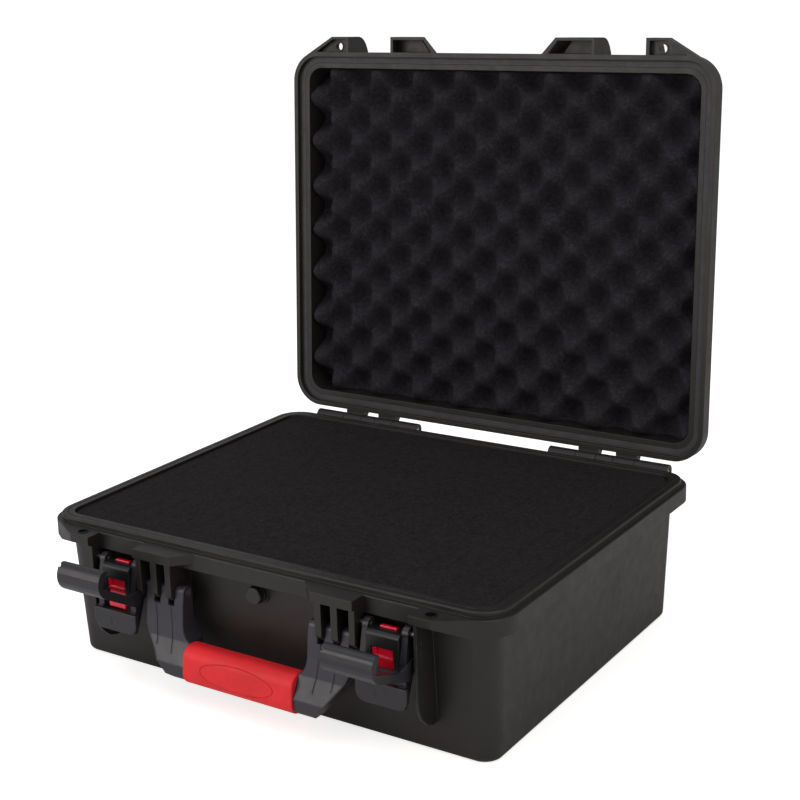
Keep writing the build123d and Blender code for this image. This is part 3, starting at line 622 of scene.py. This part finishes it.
def coil(low, high):
    """Points and faces of a round wire wound inside a box."""
    radius = (high.x - low.x) / 2 - WIRE
    steps = COIL_TURNS * STEPS_PER_TURN
    share = np.linspace(0, 1, steps)
    turn = 2 * pi * COIL_TURNS * share
    middle = low.z + WIRE + (high.z - low.z - 2 * WIRE) * share
    around = np.arange(WIRE_SIDES) * 2 * pi / WIRE_SIDES
    reach = radius + WIRE * np.cos(around)[None, :]
    x = (low.x + high.x) / 2 + reach * np.cos(turn)[:, None]
    y = (low.y + high.y) / 2 + reach * np.sin(turn)[:, None]
    z = middle[:, None] + WIRE * np.sin(around)[None, :]
    points = np.stack([x, y, z], -1).reshape(-1, 3)
    faces = []
    for step in range(steps - 1):
        for side in range(WIRE_SIDES):
            a = step * WIRE_SIDES + side
            b = step * WIRE_SIDES + (side + 1) % WIRE_SIDES
            faces.append([a, a + WIRE_SIDES, b + WIRE_SIDES, b])
    faces.append(list(range(WIRE_SIDES)))
    faces.append(list(range(len(points) - 1, len(points) - 1 - WIRE_SIDES, -1)))
    return points, faces


def slider_springs():
    """Return coils, one in the box of each slider's spring."""
    for side in ("left", "right"):
        node, joint_name = f"latch_spring_{side}", f"latch_slider_{side}_press"
        low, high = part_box(node)
        points, faces = coil(low, high)
        spring = new_piece(f"return_coil_{side}", points, faces, "spring_steel", "base")
        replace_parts(spring, node)
        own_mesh(spring)


# ---------------------------------------------------------------- stage, light and camera

WORLD_LIGHT = 0.42  # strength of the white surroundings as a light
FLOOR_LIFT = 0.68  # extra brightness of the floor, seen directly
FLOOR_SIZE = 60.0
FLOOR_GAP = 0.2 * MM  # keeps the floor clear of the case's underside
COOL_WHITE = (0.84, 0.87, 1.0)
WARM_WHITE = (1.0, 0.92, 0.88)
LAMP_WHITE = (1.0, 0.84, 0.68)
LIGHT_AIM = Vector((0, 0, 0.2))  # about the middle of the open case

CAMERA_PLACE = Vector((0.75605, -1.1203, 0.6151))
CAMERA_YAW = radians(34.47)
CAMERA_PITCH = radians(13.66)
CAMERA_ROLL = radians(1.97)
SENSOR_MM = 36.0
LENS_MM = 70.6
SHIFT_X = 0.0533
SHIFT_Y = -0.0873


def studio_floor():
    """A plain pale floor that fades into the white surroundings."""
    bpy.ops.mesh.primitive_plane_add(size=FLOOR_SIZE, location=(0, 0, UNDERSIDE - FLOOR_GAP))
    floor = bpy.context.object
    floor.name = "studio_floor"
    n = Nodes("pale_floor")
    tone = n.span(n.noise(0.4, 3.0), 0.3, 0.7)
    n.put("Base Color", n.mix(tone, rgb(0.88, 0.88, 0.88), rgb(0.91, 0.91, 0.91)))
    n.put("Roughness", 0.7)
    n.put("Specular IOR Level", 0.0)
    n.put("Emission Color", rgb(1.0, 1.0, 1.0))
    n.put("Emission Strength", n.math("MULTIPLY", n.seen(), FLOOR_LIFT))
    floor.data.materials.append(n.material)


def soft_light(name, place, size, power, colour):
    """A large lamp aimed at the case."""
    light = bpy.data.lights.new(name, "AREA")
    light.shape = "RECTANGLE"
    light.size, light.size_y = size
    light.energy = power
    light.color = colour
    lamp = bpy.data.objects.new(name, light)
    bpy.context.scene.collection.objects.link(lamp)
    lamp.location = place
    lamp.rotation_euler = (LIGHT_AIM - Vector(place)).to_track_quat("-Z", "Y").to_euler()


def studio_light():
    """White surroundings, dimmer as a light than as seen, and three soft lamps."""
    world = bpy.data.worlds.new("studio")
    world.use_nodes = True
    tree = world.node_tree
    background = tree.nodes["Background"]
    background.inputs["Color"].default_value = rgb(1.0, 1.0, 1.0)
    strength = tree.nodes.new("ShaderNodeMapRange")
    strength.inputs["To Min"].default_value = WORLD_LIGHT
    strength.inputs["To Max"].default_value = 1.0
    seen = tree.nodes.new("ShaderNodeLightPath")
    tree.links.new(seen.outputs["Is Camera Ray"], strength.inputs["Value"])
    tree.links.new(strength.outputs[0], background.inputs["Strength"])
    bpy.context.scene.world = world
    soft_light("key_right", place=(2.2, -0.6, 1.4), size=(1.6, 1.6), power=15, colour=LAMP_WHITE)
    soft_light("top_soft", place=(-0.2, -0.3, 2.4), size=(2.2, 2.2), power=14, colour=COOL_WHITE)
    soft_light("front_fill", place=(-1.3, -2.3, 1.0), size=(1.8, 1.4), power=23, colour=WARM_WHITE)


def photo_camera():
    """A camera to the right of the front and a little above, with a shifted lens."""
    data = bpy.data.cameras.new("camera")
    data.sensor_width = SENSOR_MM
    data.lens = LENS_MM
    data.shift_x = SHIFT_X
    data.shift_y = SHIFT_Y
    camera = bpy.data.objects.new("camera", data)
    bpy.context.scene.collection.objects.link(camera)
    level = cos(CAMERA_PITCH)
    forward = Vector((-sin(CAMERA_YAW) * level, cos(CAMERA_YAW) * level, -sin(CAMERA_PITCH)))
    right = forward.cross(Vector((0, 0, 1))).normalized()
    down = forward.cross(right)
    across = cos(CAMERA_ROLL) * right + sin(CAMERA_ROLL) * down
    below = cos(CAMERA_ROLL) * down - sin(CAMERA_ROLL) * right
    axes = Matrix((across, -below, -forward)).transposed().to_4x4()
    axes.translation = CAMERA_PLACE
    camera.matrix_world = axes
    bpy.context.scene.camera = camera


paint_frame()
base_foam()
egg_crate()
slider_springs()
studio_floor()
studio_light()
photo_camera()
bpy.context.scene.view_settings.view_transform = "Standard"
